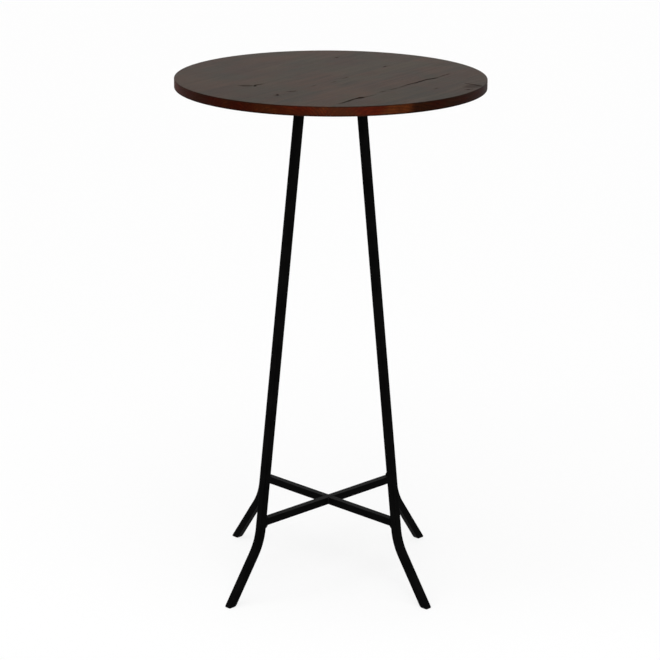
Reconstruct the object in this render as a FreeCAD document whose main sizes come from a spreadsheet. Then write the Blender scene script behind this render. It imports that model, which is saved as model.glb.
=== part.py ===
import FreeCAD, Part
import math
import os
import types

import Sketcher

# Bar table: a round board top on four bent square-tube legs with a cross stretcher.
# Millimetres, +Z up. The origin lies on the floor under the middle of the top,
# -Y is the front, and the four legs stand on the diagonals.

SIZES = {
    # Whole table
    "table_height": 1100,          # floor to the top surface
    "top_diameter": 650,
    "top_thickness": 20,
    "rim_chamfer": 1.2,            # eased upper and lower rim of the top
    # Boards of the top, tongued and grooved along the grain
    "grain_angle": 56,             # degrees from +X to the run of the grain
    "tongue_length": 6,
    "tongue_thickness": 6,
    "groove_clearance": 0.2,
    # Steel plate that carries the top
    "plate_diameter": 260,
    "plate_thickness": 5,
    "screw_edge": 15,              # plate edge to the screws' centres
    "screw_hole": 7,
    # Wood screws with washers
    "screw_diameter": 5,
    "screw_length": 20,
    "screw_tip": 4,
    "screw_head_diameter": 10,
    "screw_head_height": 3.4,
    "screw_head_crown": 1.4,       # how far the head's face is drawn in
    "pilot_clearance": 0.1,        # round the screw and beyond its tip
    "washer_diameter": 15,
    "washer_hole": 5.4,
    "washer_thickness": 1.2,
    # Square tube
    "bar_side": 16,
    "bar_wall": 1.5,
    "bar_corner": 1.5,
    # Centre line of a leg, measured from the table's axis
    "leg_top_radius": 86.5,        # under the plate
    "knee_radius": 207.5,          # where the two straight runs would meet
    "knee_height": 125,
    "foot_radius": 294,            # on the floor
    "bend_radius": 120,
    # Cross stretcher
    "stretcher_height": 168,       # floor to its centre line
    # Weld beads
    "stretcher_bead": 5.5,
    "crossing_bead": 3,
    "plate_bead": 4,
    # Glides pressed into the feet
    "glide_thickness": 4,
    "glide_chamfer": 2,            # round the resting face
    "glide_clearance": 0.15,
    "glide_core": 9,
    "glide_plug_length": 20,
    "glide_fin": 1.2,
    "glide_fin_pitch": 4.5,
    # Material left beyond a cut before it is made
    "overrun": 12,
}
BOARDS = 5
BOARD_SHARE = 0.2277               # width of a board, of the top's diameter; the last one is ripped to fit
BEAD_CROWN_SHARE = 1.1             # radius of a bead's face, of its flank
GLIDE_FINS = 4
QUARTERS = 4
FULL_ANGLE = math.degrees(math.tau)
RIGHT_ANGLE = FULL_ANGLE / QUARTERS
# The legs in the order in which they stand round the table, a quarter of a turn apart
LEG_NAMES = ("front_left", "front_right", "back_right", "back_left")
LEG_ANGLES = {name: RIGHT_ANGLE * (place + 1 / 2) - FULL_ANGLE / 2 for place, name in enumerate(LEG_NAMES)}
# Sketcher's numbers for an edge's points, and for the origin of a sketch
START, END, CENTRE = range(1, 4)
ORIGIN = (-START, START)

os.makedirs("parts", exist_ok=True)
document = FreeCAD.newDocument("bar_table")


# Sizes that carry their own formula


class Size:
    """A length, ratio or angle: its value, and the formula by which the sheet gives it."""

    def __init__(self, value, formula):
        self.value = value
        self.formula = formula

    def __add__(self, other):
        return combine(self, "+", other)

    def __sub__(self, other):
        return combine(self, "-", other)

    def __mul__(self, other):
        return combine(self, "*", other)

    def __truediv__(self, other):
        return combine(self, "/", other)

    def __neg__(self):
        return Size(-self.value, "(-%s)" % self.formula)


OPERATIONS = {
    "+": lambda left, right: left + right,
    "-": lambda left, right: left - right,
    "*": lambda left, right: left * right,
    "/": lambda left, right: left / right,
}


def as_size(number):
    return number if isinstance(number, Size) else Size(number, str(number))


def combine(left, sign, right):
    right = as_size(right)
    value = OPERATIONS[sign](left.value, right.value)
    return Size(value, "(%s %s %s)" % (left.formula, sign, right.formula))


def angle_of(rise, run):
    ratio = rise / run
    return Size(math.degrees(math.atan(ratio.value)), "atan(%s)" % ratio.formula)


def in_degrees(number):
    number = as_size(number)
    return Size(number.value, "(%s * 1 deg)" % number.formula)


def sine(angle):
    return Size(math.sin(math.radians(angle.value)), "sin(%s)" % angle.formula)


def cosine(angle):
    return Size(math.cos(math.radians(angle.value)), "cos(%s)" % angle.formula)


def tangent(angle):
    return Size(math.tan(math.radians(angle.value)), "tan(%s)" % angle.formula)


def diagonal(first, second):
    return Size(math.hypot(first.value, second.value), "hypot(%s; %s)" % (first.formula, second.formula))


def fill_sheet():
    sheet = document.addObject("Spreadsheet::Sheet", "Sizes")
    for row, (name, value) in enumerate(SIZES.items(), start=1):
        sheet.set("A%d" % row, name)
        sheet.set("B%d" % row, str(value))
        sheet.setAlias("B%d" % row, name)
    document.recompute()
    return types.SimpleNamespace(**{name: Size(value, "Sizes." + name) for name, value in SIZES.items()})


def bind(item, prop, amount):
    item.setExpression(prop, as_size(amount).formula)


# Sketches and features


def new_body(name, azimuth=0, radius=None, height=None, pitch=None):
    """A body turned to an azimuth about the table's axis and set out along it."""
    body = document.addObject("PartDesign::Body", name)
    body.Label = name
    turn = in_degrees(azimuth)
    bind(body, "Placement.Rotation.Yaw", turn)
    if pitch is not None:
        bind(body, "Placement.Rotation.Pitch", pitch)
    if radius is not None:
        bind(body, "Placement.Base.x", radius * cosine(turn))
        bind(body, "Placement.Base.y", radius * sine(turn))
    if height is not None:
        bind(body, "Placement.Base.z", height)
    return body


def origin_feature(body, role):
    return next(item for item in body.Origin.OriginFeatures if item.Role == role)


def new_sketch(body, name, plane, along_x=None, along_normal=None):
    sketch = body.newObject("Sketcher::SketchObject", name)
    sketch.AttachmentSupport = [(origin_feature(body, plane), "")]
    sketch.MapMode = "FlatFace"
    for axis, shift in (("x", along_x), ("z", along_normal)):
        if shift is not None:
            bind(sketch, "AttachmentOffset.Base.%s" % axis, shift)
    return sketch


def dimension(sketch, kind, elements, amount):
    amount = as_size(amount)
    index = sketch.addConstraint(Sketcher.Constraint(kind, *elements, amount.value))
    bind(sketch, "Constraints[%d]" % index, amount)


def place_point(sketch, point, x, y):
    dimension(sketch, "DistanceX", ORIGIN + point, x)
    dimension(sketch, "DistanceY", ORIGIN + point, y)


def arc_between(start, end, radius):
    """The shorter counter-clockwise arc from start to end, which bulges out of an outline."""
    chord = end - start
    side = FreeCAD.Vector(-chord.y, chord.x, 0).normalize()
    centre = start + chord / 2 + side * math.sqrt(radius ** 2 - (chord.Length / 2) ** 2)
    angles = [math.atan2(point.y - centre.y, point.x - centre.x) for point in (start, end)]
    circle = Part.Circle(centre, FreeCAD.Vector(0, 0, 1), radius)
    return Part.ArcOfCircle(circle, *angles)


def draw_outline(sketch, corners, arcs=None):
    """A closed counter-clockwise outline; arcs names the radius of each edge that is round."""
    arcs = arcs or {}
    first = sketch.GeometryCount
    count = len(corners)
    points = [FreeCAD.Vector(as_size(x).value, as_size(y).value, 0) for x, y in corners]
    for index, start in enumerate(points):
        end = points[(index + 1) % count]
        if index in arcs:
            sketch.addGeometry(arc_between(start, end, arcs[index].value))
        else:
            sketch.addGeometry(Part.LineSegment(start, end))
    for index in range(count):
        follower = first + (index + 1) % count
        sketch.addConstraint(Sketcher.Constraint("Coincident", first + index, END, follower, START))
    for index, (x, y) in enumerate(corners):
        place_point(sketch, (first + index, START), x, y)
    for index, radius in arcs.items():
        dimension(sketch, "Radius", (first + index,), radius)


def draw_rectangle(sketch, width, depth, middle=0):
    left = as_size(middle) - width / 2
    right = as_size(middle) + width / 2
    draw_outline(sketch, [(left, -depth / 2), (right, -depth / 2), (right, depth / 2), (left, depth / 2)])


def draw_clipped_rectangle(sketch, width, depth, clip, middle=0, is_round=False):
    """A rectangle whose corners are clipped straight or round."""
    left = as_size(middle) - width / 2
    right = as_size(middle) + width / 2
    low = -depth / 2
    high = depth / 2
    corners = [
        (left + clip, low), (right - clip, low), (right, low + clip), (right, high - clip),
        (right - clip, high), (left + clip, high), (left, high - clip), (left, low + clip),
    ]
    draw_outline(sketch, corners, {index: clip for index in (1, 3, 5, 7)} if is_round else None)


def draw_circle(sketch, x, y, diameter):
    centre = FreeCAD.Vector(as_size(x).value, as_size(y).value, 0)
    index = sketch.addGeometry(Part.Circle(centre, FreeCAD.Vector(0, 0, 1), diameter.value / 2))
    place_point(sketch, (index, CENTRE), x, y)
    dimension(sketch, "Diameter", (index,), diameter)


def pad(body, name, profile, length, symmetric=False):
    feature = body.newObject("PartDesign::Pad", name)
    feature.Profile = profile
    bind(feature, "Length", length)
    if symmetric:
        feature.SideType = "Symmetric"
    return feature


def cut_through(body, name, profile):
    """A pocket through the whole body, to both sides of its sketch."""
    feature = body.newObject("PartDesign::Pocket", name)
    feature.Profile = profile
    feature.Type = "ThroughAll"
    feature.SideType = "Symmetric"
    return feature


def turn_round(body, name, profile):
    feature = body.newObject("PartDesign::Revolution", name)
    feature.Profile = profile
    feature.ReferenceAxis = (profile, ["V_Axis"])
    feature.Angle = FULL_ANGLE
    return feature


def repeat_round(body, name, features):
    """The features once in each quarter of the table."""
    pattern = body.newObject("PartDesign::PolarPattern", name)
    pattern.Originals = features
    pattern.Axis = (origin_feature(body, "Z_Axis"), [""])
    pattern.Angle = FULL_ANGLE
    pattern.Occurrences = QUARTERS
    body.Tip = pattern
    return pattern


size = fill_sheet()

# Places that follow from the sizes
top_underside = size.table_height - size.top_thickness
plate_underside = top_underside - size.plate_thickness
board_width = size.top_diameter * BOARD_SHARE
screw_reach = size.plate_diameter / 2 - size.screw_edge
screw_seat = plate_underside - size.washer_thickness
lean = angle_of(size.knee_radius - size.leg_top_radius, plate_underside - size.knee_height)
splay = angle_of(size.foot_radius - size.knee_radius, size.knee_height)
half_bar = size.bar_side / 2
bore_side = size.bar_side - size.bar_wall * 2
flat_width = size.bar_side - size.bar_corner * 2
knee_to_stretcher = size.stretcher_height - size.knee_height
leg_at_stretcher = size.knee_radius - knee_to_stretcher * tangent(lean)
leg_face = leg_at_stretcher - half_bar / cosine(lean)


# Top


def make_disc():
    """The round blank of the top, its rim eased above and below."""
    body = new_body("round_blank", size.grain_angle + RIGHT_ANGLE / 2, height=top_underside)
    profile = new_sketch(body, "blank_profile", "XZ_Plane")
    radius = size.top_diameter / 2
    eased = size.rim_chamfer
    corners = [
        (0, 0), (radius - eased, 0), (radius, eased),
        (radius, size.top_thickness - eased), (radius - eased, size.top_thickness), (0, size.top_thickness),
    ]
    draw_outline(profile, corners)
    turn_round(body, "blank", profile)
    return body


def make_pilots():
    """The drill bodies of the screws' pilot holes."""
    body = new_body("pilot_drills", height=top_underside - size.overrun)
    profile = new_sketch(body, "pilot_place", "XY_Plane")
    draw_circle(profile, screw_reach, 0, size.screw_diameter + size.pilot_clearance * 2)
    grip = size.screw_length - size.plate_thickness - size.washer_thickness
    drill = pad(body, "drill", profile, grip + size.pilot_clearance + size.overrun)
    repeat_round(body, "drills_all_round", [drill])
    return body


def board_corners(left, right, has_groove, has_tongue):
    """Section of a board: its groove on the left, its tongue on the right."""
    middle = size.top_thickness / 2
    tongue = size.tongue_thickness / 2
    tip = right + size.tongue_length
    groove = tongue + size.groove_clearance
    depth = left + size.tongue_length + size.groove_clearance
    corners = [(left, 0), (right, 0)]
    if has_tongue:
        corners += [(right, middle - tongue), (tip, middle - tongue)]
        corners += [(tip, middle + tongue), (right, middle + tongue)]
    corners += [(right, size.top_thickness), (left, size.top_thickness)]
    if has_groove:
        corners += [(left, middle + groove), (depth, middle + groove)]
        corners += [(depth, middle - groove), (left, middle - groove)]
    return corners


def make_board(number, blank):
    """One board: its planed strip, cut round and drilled with the rest of the top."""
    strip = new_body("planed_strip_%d" % number, size.grain_angle + RIGHT_ANGLE, height=top_underside)
    profile = new_sketch(strip, "board_section_%d" % number, "XZ_Plane")
    edge = size.top_diameter / 2
    is_first = number == 1
    is_last = number == BOARDS
    left = -edge - size.overrun if is_first else board_width * (number - 1) - edge
    right = edge + size.overrun if is_last else board_width * number - edge
    draw_outline(profile, board_corners(left, right, not is_first, not is_last))
    pad(strip, "board_run_%d" % number, profile, size.top_diameter + size.overrun * 2, symmetric=True)
    board = document.addObject("Part::Common", "top_board_%d" % number)
    board.Base = strip
    board.Tool = blank
    return board


def make_top():
    blank = document.addObject("Part::Cut", "drilled_blank")
    blank.Base = make_disc()
    blank.Tool = make_pilots()
    return [make_board(number, blank) for number in range(1, BOARDS + 1)]


# Plate, washers and screws


def make_plate():
    body = new_body("mounting_plate", height=plate_underside)
    profile = new_sketch(body, "plate_outline", "XY_Plane")
    draw_circle(profile, 0, 0, size.plate_diameter)
    pad(body, "plate", profile, size.plate_thickness)
    hole = new_sketch(body, "hole_outline", "XY_Plane")
    draw_circle(hole, screw_reach, 0, size.screw_hole)
    repeat_round(body, "holes_all_round", [cut_through(body, "hole", hole)])
    return body


def make_washers():
    body = new_body("plate_washers", height=screw_seat)
    profile = new_sketch(body, "washer_outline", "XY_Plane")
    draw_circle(profile, screw_reach, 0, size.washer_diameter)
    draw_circle(profile, screw_reach, 0, size.washer_hole)
    repeat_round(body, "washers_all_round", [pad(body, "washer", profile, size.washer_thickness)])
    return body


def make_screws():
    """Pan-head wood screws, heads down."""
    body = new_body("plate_screws", height=screw_seat)
    shank = size.screw_diameter / 2
    head = size.screw_head_diameter / 2
    crown = size.screw_head_crown
    bottom = -size.screw_head_height
    corners = [
        (0, bottom), (head - crown, bottom), (head, bottom + crown), (head, 0), (shank, 0),
        (shank, size.screw_length - size.screw_tip), (0, size.screw_length),
    ]
    profile = new_sketch(body, "screw_profile", "XZ_Plane", along_x=screw_reach)
    draw_outline(profile, corners)
    repeat_round(body, "screws_all_round", [turn_round(body, "screw", profile)])
    return body


# Legs and stretcher


def draw_tube_section(sketch):
    draw_clipped_rectangle(sketch, size.bar_side, size.bar_side, size.bar_corner, is_round=True)
    draw_rectangle(sketch, bore_side, bore_side)


def draw_leg_line(sketch, run, turn, shin):
    """Straight run, bend and splayed shin of a leg, downwards from the sketch's origin."""
    bend = size.bend_radius
    foot_of_run = FreeCAD.Vector(0, -run.value, 0)
    centre = foot_of_run + FreeCAD.Vector(bend.value, 0, 0)
    angle = math.radians(turn.value)
    end_of_bend = centre - FreeCAD.Vector(math.cos(angle), math.sin(angle), 0) * bend.value
    foot = end_of_bend + FreeCAD.Vector(math.sin(angle), -math.cos(angle), 0) * shin.value
    circle = Part.Circle(centre, FreeCAD.Vector(0, 0, 1), bend.value)
    upper = sketch.addGeometry(Part.LineSegment(FreeCAD.Vector(), foot_of_run))
    knee = sketch.addGeometry(Part.ArcOfCircle(circle, math.pi, math.pi + angle))
    lower = sketch.addGeometry(Part.LineSegment(end_of_bend, foot))
    sketch.addConstraint(Sketcher.Constraint("Coincident", upper, START, *ORIGIN))
    sketch.addConstraint(Sketcher.Constraint("Vertical", upper))
    sketch.addConstraint(Sketcher.Constraint("Tangent", upper, END, knee, START))
    sketch.addConstraint(Sketcher.Constraint("Tangent", knee, END, lower, START))
    dimension(sketch, "Distance", (upper,), run)
    dimension(sketch, "Radius", (knee,), bend)
    place_point(
        sketch, (lower, END),
        bend - bend * cosine(turn) + shin * sine(turn),
        -run - bend * sine(turn) - shin * cosine(turn),
    )


def make_leg(name, azimuth, band):
    """A bent tube, then sawn level under the plate and above the glide."""
    above = size.overrun
    tube = new_body(
        "bent_tube_" + name, azimuth,
        radius=size.leg_top_radius - above * sine(lean),
        height=plate_underside + above * cosine(lean),
        pitch=-lean,
    )
    turn = splay - lean
    setback = size.bend_radius * tangent(turn / 2)
    run = diagonal(size.knee_radius - size.leg_top_radius, plate_underside - size.knee_height)
    shin = diagonal(size.foot_radius - size.knee_radius, size.knee_height)
    section = new_sketch(tube, "tube_section_" + name, "XY_Plane")
    draw_tube_section(section)
    line = new_sketch(tube, "leg_line_" + name, "XZ_Plane")
    draw_leg_line(line, run + above - setback, turn, shin + above - setback)
    pipe = tube.newObject("PartDesign::AdditivePipe", "leg_tube_" + name)
    pipe.Profile = section
    pipe.Spine = (line, ["Edge1", "Edge2", "Edge3"])
    leg = document.addObject("Part::Common", "leg_" + name)
    leg.Base = tube
    leg.Tool = band
    return leg


def make_height_band():
    """All that lies between the glides and the plate, where the legs are left standing."""
    reach = size.foot_radius * 2 + size.bar_side * 2 + size.overrun * 2
    band = document.addObject("Part::Box", "height_band")
    bind(band, "Length", reach)
    bind(band, "Width", reach)
    bind(band, "Height", plate_underside - size.glide_thickness)
    bind(band, "Placement.Base.x", -reach / 2)
    bind(band, "Placement.Base.y", -reach / 2)
    bind(band, "Placement.Base.z", size.glide_thickness)
    return band


def trim_to_leg(body, name):
    """Saws the bar's outer end to the slope of the leg's inner face."""
    high = half_bar + size.overrun
    slope = tangent(lean) * high
    far = leg_face + size.overrun * 2
    profile = new_sketch(body, "end_cut_" + name, "XZ_Plane")
    draw_outline(profile, [(leg_face + slope, -high), (far, -high), (far, high), (leg_face - slope, high)])
    return cut_through(body, "sawn_end_" + name, profile)


def make_long_stretcher():
    """The bar that runs through the crossing, from the front left leg to the back right one."""
    name = "through"
    body = new_body("stretcher_" + name, LEG_ANGLES["back_right"], height=size.stretcher_height)
    section = new_sketch(body, "tube_section_" + name, "YZ_Plane")
    draw_tube_section(section)
    pad(body, "tube_" + name, section, (leg_face + size.overrun) * 2, symmetric=True)
    sawn_end = trim_to_leg(body, name)
    other_end = body.newObject("PartDesign::Mirrored", "other_end_" + name)
    other_end.Originals = [sawn_end]
    other_end.MirrorPlane = (origin_feature(body, "YZ_Plane"), [""])
    body.Tip = other_end
    return body


def make_short_stretcher(name, azimuth):
    """Half of the other bar, from the side of the through bar to its leg."""
    body = new_body("stretcher_" + name, azimuth, height=size.stretcher_height)
    section = new_sketch(body, "tube_section_" + name, "YZ_Plane", along_normal=half_bar)
    draw_tube_section(section)
    pad(body, "tube_" + name, section, leg_face + size.overrun - half_bar)
    trim_to_leg(body, name)
    return body


# Weld beads


def draw_bead(sketch, corner, first, second):
    """A fillet bead in a corner; its two flanks are given counter-clockwise, as (x, y) steps."""
    x, y = (as_size(value) for value in corner)
    throat = diagonal(*(as_size(value) for value in first))
    corners = [(x, y), (x + first[0], y + first[1]), (x + second[0], y + second[1])]
    draw_outline(sketch, corners, {1: throat * BEAD_CROWN_SHARE})


def add_bead(body, name, plane, corner, first, second, along_normal=None):
    profile = new_sketch(body, name + "_section", plane, along_normal=along_normal)
    draw_bead(profile, corner, first, second)
    return pad(body, name, profile, flat_width, symmetric=True)


def make_stretcher_beads():
    """Above and below each end of the stretcher, against the legs."""
    body = new_body("stretcher_weld_beads", LEG_ANGLES["back_right"], height=size.stretcher_height)
    leg = size.stretcher_bead
    shift = tangent(lean) * half_bar
    inward = (-leg, as_size(0))
    upward = (-leg * sine(lean), leg * cosine(lean))
    downward = (leg * sine(lean), -leg * cosine(lean))
    upper = add_bead(body, "upper_bead", "XZ_Plane", (leg_face - shift, half_bar), upward, inward)
    lower = add_bead(body, "lower_bead", "XZ_Plane", (leg_face + shift, -half_bar), inward, downward)
    repeat_round(body, "beads_at_every_leg", [upper, lower])
    return body


def make_crossing_beads():
    """Upright beads in the four corners of the crossing."""
    body = new_body("crossing_weld_beads", LEG_ANGLES["back_right"], height=size.stretcher_height)
    leg = size.crossing_bead
    corner = (half_bar, half_bar)
    bead = add_bead(body, "corner_bead", "XY_Plane", corner, (leg, as_size(0)), (as_size(0), leg))
    repeat_round(body, "beads_in_every_corner", [bead])
    return body


def make_plate_beads():
    """Round the top of each leg, against the plate."""
    body = new_body("plate_weld_beads", LEG_ANGLES["back_right"], height=plate_underside)
    leg = size.plate_bead
    middle = size.leg_top_radius
    reach = half_bar / cosine(lean)
    inward = (-leg, as_size(0))
    outward = (leg, as_size(0))
    down = (as_size(0), -leg)
    down_the_leg = (leg * sine(lean), -leg * cosine(lean))
    beads = [
        add_bead(body, "inner_bead", "XZ_Plane", (middle - reach, 0), inward, down_the_leg),
        add_bead(body, "outer_bead", "XZ_Plane", (middle + reach, 0), down_the_leg, outward),
        add_bead(body, "left_bead", "YZ_Plane", (half_bar, 0), down, outward, along_normal=middle),
        add_bead(body, "right_bead", "YZ_Plane", (-half_bar, 0), inward, down, along_normal=middle),
    ]
    repeat_round(body, "beads_at_every_top", beads)
    return body


# Glides


def add_along_shin(body, name, profile, height):
    """A pad that rises along the slope of the shin."""
    feature = pad(body, name, profile, height)
    feature.UseCustomVector = True
    bind(feature, "Direction.x", -sine(splay))
    bind(feature, "Direction.y", 0)
    bind(feature, "Direction.z", cosine(splay))
    return feature


def lowest_face(shape):
    heights = [face.CenterOfMass.z for face in shape.Faces]
    return "Face%d" % (heights.index(min(heights)) + 1)


def make_glide(name, azimuth):
    """A plastic insert: a finned plug in the tube and an eased pad with a level resting face."""
    body = new_body("foot_glide_" + name, azimuth, radius=size.foot_radius)
    thick = size.glide_thickness
    sole = new_sketch(body, "sole_" + name, "XY_Plane")
    draw_clipped_rectangle(sole, size.bar_side / cosine(splay), size.bar_side, size.bar_corner)
    cushion = add_along_shin(body, "pad_" + name, sole, thick)
    document.recompute()
    eased = body.newObject("PartDesign::Chamfer", "eased_pad_" + name)
    eased.Base = (cushion, [lowest_face(cushion.Shape)])
    bind(eased, "Size", size.glide_chamfer)
    core = new_sketch(body, "core_" + name, "XY_Plane", along_normal=thick)
    draw_rectangle(core, size.glide_core / cosine(splay), size.glide_core, middle=-thick * tangent(splay))
    add_along_shin(body, "plug_" + name, core, size.glide_plug_length)
    fin_side = bore_side - size.glide_clearance * 2
    for number in range(1, GLIDE_FINS + 1):
        level = thick + size.glide_fin_pitch * (number - 1)
        fin = new_sketch(body, "fin_%d_%s" % (number, name), "XY_Plane", along_normal=level)
        draw_rectangle(fin, fin_side / cosine(splay), fin_side, middle=-level * tangent(splay))
        add_along_shin(body, "fin_pad_%d_%s" % (number, name), fin, size.glide_fin)
    return body


def make_all():
    band = make_height_band()
    parts = make_top()
    parts += [make_plate(), make_washers(), make_screws()]
    parts += [make_leg(name, azimuth, band) for name, azimuth in LEG_ANGLES.items()]
    parts += [make_long_stretcher()]
    parts += [make_short_stretcher(name, LEG_ANGLES[name]) for name in ("back_left", "front_right")]
    parts += [make_plate_beads(), make_stretcher_beads(), make_crossing_beads()]
    parts += [make_glide(name, azimuth) for name, azimuth in LEG_ANGLES.items()]
    return parts


def check_document(parts):
    for item in document.Objects:
        for fault in ("Invalid", "Error"):
            if fault in item.State:
                raise RuntimeError("%s is %s" % (item.Label, item.State))
    for part in parts:
        if part.Shape.isNull() or not part.Shape.isValid():
            raise RuntimeError("%s has no valid shape" % part.Label)


def write_parts(parts):
    for part in parts:
        solids = part.Shape.Solids
        print("%-26s %2d solids %12.1f mm3" % (part.Label, len(solids), part.Shape.Volume))
        part.Shape.exportStep("parts/%s.step" % part.Label)


table_parts = make_all()
document.recompute()
check_document(table_parts)
write_parts(table_parts)
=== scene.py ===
import random
from math import asin, atan, ceil, cos, hypot, pi, radians, sin, sqrt, tan, tau

import bmesh
import bpy
from mathutils import Matrix, Vector
from mathutils.geometry import delaunay_2d_cdt


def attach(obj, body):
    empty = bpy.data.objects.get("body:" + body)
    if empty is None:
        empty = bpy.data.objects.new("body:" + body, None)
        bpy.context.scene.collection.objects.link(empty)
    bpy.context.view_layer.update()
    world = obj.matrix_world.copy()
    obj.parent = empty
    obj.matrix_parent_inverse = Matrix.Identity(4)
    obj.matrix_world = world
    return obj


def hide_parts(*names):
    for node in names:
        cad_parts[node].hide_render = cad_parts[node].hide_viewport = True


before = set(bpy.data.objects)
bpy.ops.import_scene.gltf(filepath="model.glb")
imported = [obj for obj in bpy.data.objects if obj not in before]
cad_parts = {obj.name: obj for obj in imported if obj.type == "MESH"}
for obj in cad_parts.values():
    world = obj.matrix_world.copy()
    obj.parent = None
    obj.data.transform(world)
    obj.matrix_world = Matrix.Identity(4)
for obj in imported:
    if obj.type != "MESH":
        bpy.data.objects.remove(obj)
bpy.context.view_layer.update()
scene = bpy.context.scene

# Bar table: a stained board top on four bent square-tube legs.
# Shapes are written in millimetres and made in metres; the origin is on the floor under
# the middle of the top, -Y is the front.
METRE = 1000.0
MERGE_DISTANCE = 0.002

# Top
TABLE_HEIGHT = 1100.0
TOP_RADIUS = 325.0
TOP_THICKNESS = 20.0
TOP_UNDERSIDE = TABLE_HEIGHT - TOP_THICKNESS
UPPER_ROUND = 1.2
LOWER_ROUND = 1.5
RIM_SETBACK = 0.05  # keeps the finer rim inside the coarser one of the CAD mesh
GRAIN_ANGLE = radians(56.0)
BOARDS = 5
BOARD_WIDTH = TOP_RADIUS * 2 * 0.2277  # the last board is ripped narrower to fit
TONGUE_LENGTH = 6.0
TONGUE_HALF = 3.0
GROOVE_CLEARANCE = 0.2
GROOVE_DEPTH = TONGUE_LENGTH + GROOVE_CLEARANCE

# Screws, under the plate that carries the top
PLATE_UNDERSIDE = 1075.0
SCREWS = 4
SCREW_REACH = 115.0  # from the table's axis
SCREW_RADIUS = 2.5
SCREW_LENGTH = 20.0
SCREW_TIP = 4.0
SCREW_POINT = 0.3  # radius of the very point
HEAD_RADIUS = 5.0
HEAD_FACE = 3.5  # radius of the flat of the head
HEAD_HEIGHT = 3.4
HEAD_BEVEL = (0.15, 0.3)  # how far the head's seat is drawn in, and how high
RECESS_ARM = 2.5
RECESS_HALF = 0.62
RECESS_DEPTH = 1.7
RECESS_FLOOR = 0.55  # size of the recess's floor, as a share of its mouth
WASHER_THICKNESS = 1.2
PILOT_RADIUS = 2.6
PILOT_DEPTH = 13.9

# Square tube of the legs and the stretcher
BAR_SIDE = 16.0
HALF_BAR = BAR_SIDE / 2
BAR_WALL = 1.5
BAR_CORNER = 1.5
BORE_CORNER = 0.4
CORNER_HOLD = 0.4  # from a corner's round to the points that keep the sides flat
LEG_TOP_RADIUS = 86.5
KNEE_RADIUS = 207.5
KNEE_HEIGHT = 125.0
BEND_RADIUS = 120.0
BEND_STEP = radians(1.5)
FOOT_RADIUS = 294.0
STRETCHER_HEIGHT = 168.0
LEAN = atan((KNEE_RADIUS - LEG_TOP_RADIUS) / (PLATE_UNDERSIDE - KNEE_HEIGHT))
SPLAY = atan((FOOT_RADIUS - KNEE_RADIUS) / KNEE_HEIGHT)
LEG_AT_STRETCHER = KNEE_RADIUS - (STRETCHER_HEIGHT - KNEE_HEIGHT) * tan(LEAN)
LEG_FACE = LEG_AT_STRETCHER - HALF_BAR / cos(LEAN)
LEG_NAMES = ("front_left", "front_right", "back_right", "back_left")
LEG_ANGLES = {name: radians(90.0 * place - 135.0) for place, name in enumerate(LEG_NAMES)}

# Weld beads: their flanks, and the form that they share
STRETCHER_BEADS = {  # over and under each end of the stretcher
    "front_left": (5.0, 7.4), "front_right": (4.8, 6.0), "back_right": (7.4, 5.0), "back_left": (6.2, 4.8),
}
CROSSING_BEAD = 3.2
PLATE_BEAD = 4.2
BEAD_LENGTH = 13.0
BEAD_STEP = 0.22
BEAD_END = 2.2  # length over which an end is rounded off
BEAD_END_SIZE = 0.45  # size at the very end, as a share of the full size
BEAD_BULGE = 0.10
BEAD_FLATNESS = 0.55
RIPPLE_PITCH = 1.15
RIPPLE_HEIGHT = 0.07  # as a share of the flank
RIPPLE_CHANCE = 0.012

# Glides under the feet
GLIDE_THICKNESS = 4.0
PAD_ROUND = (5.6, 3.0, 3.4)  # how far its lower edge draws in: outwards, inwards and to the sides
PAD_ROUND_HEIGHT = 3.4
PAD_CORNER = 2.6
PAD_CORNER_LOSS = 0.3  # taken off its corner, as a share of how far a side draws in
PAD_SEAT = ((3.7, 0.12, 1.8), (4.0, 0.45, 1.6))  # its upper edge: (height, inset, corner)
PLUG_LENGTH = 20.0
PLUG_CORE = 4.5
PLUG_CORNER = 0.6
FIN_CLEARANCE = 0.15
FIN_CORNER = 0.5
FIN_START = 4.6  # height of the lowest fin
FIN_PITCH = 4.5
FIN_THICKNESS = 1.0
FINS = 4

# How close the points of a board stand
ROUND_STEP = radians(15.0)  # in the rounds of the rim and of the screws' heads
RIM_STEP = radians(1.0)  # along the rim
RIM_GAP = 2.0  # from a joint to the first point of the rim
JOINT_STEP = 12.0
JOINT_STEP_AT_MARK = 0.8
JOINT_END = 0.996  # last point before the rim, as a share of half the joint
LEAST_JOINT_STEP = 0.5
JOINT_NEAR_MARK = 2.5  # a joint follows a mark that runs this close to it
JOINT_CLEAR_OF_MARK = 4.0  # its wide steps keep this far from a mark
JOINT_MARK_END = 0.99  # marks are followed so far out, as a share of half the joint
FACE_STEPS = (15.0, 14.0)  # along and across the grain
FACE_GAP = 1.6
POINT_CELL = 2.0  # size of the cells in which a face's points are looked up
MARK_GAP = 0.34
MARK_BESIDE = 4.0  # a mark this far outside a board still shapes its face
JOINT_GAP = 0.35  # from a joint to the nearest points of a face
WIDE_JOINT_GAP = 3.0  # and to the nearest of its wide-set points
RING_POINTS = 180  # just inside the rim's round
RING_GAP = 0.3
FACE_EDGE = 0.7  # from the rim's round to the outermost points
PILOT_POINTS = 20
HEAD_POINTS = 40

# How marks are drawn
MARKED_DEPTH = 4.0  # the part of the top that marks are pressed into
MARK_CELL = 6.0  # size of the cells in which marks are looked up
MARK_STEP = 1.1
MARK_SWAY = 0.22
MARK_RAGGED = (0.78, 1.18)  # least and greatest share of the width
DARK_CORE = 0.7  # share of the half width that is wholly dark
DARK_FRINGE = 1.2  # from the mark's edge to where the dark ends
DARK_DEPTH = 1.5  # a mark this deep is wholly dark
DARK_POWER = 1.3

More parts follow.
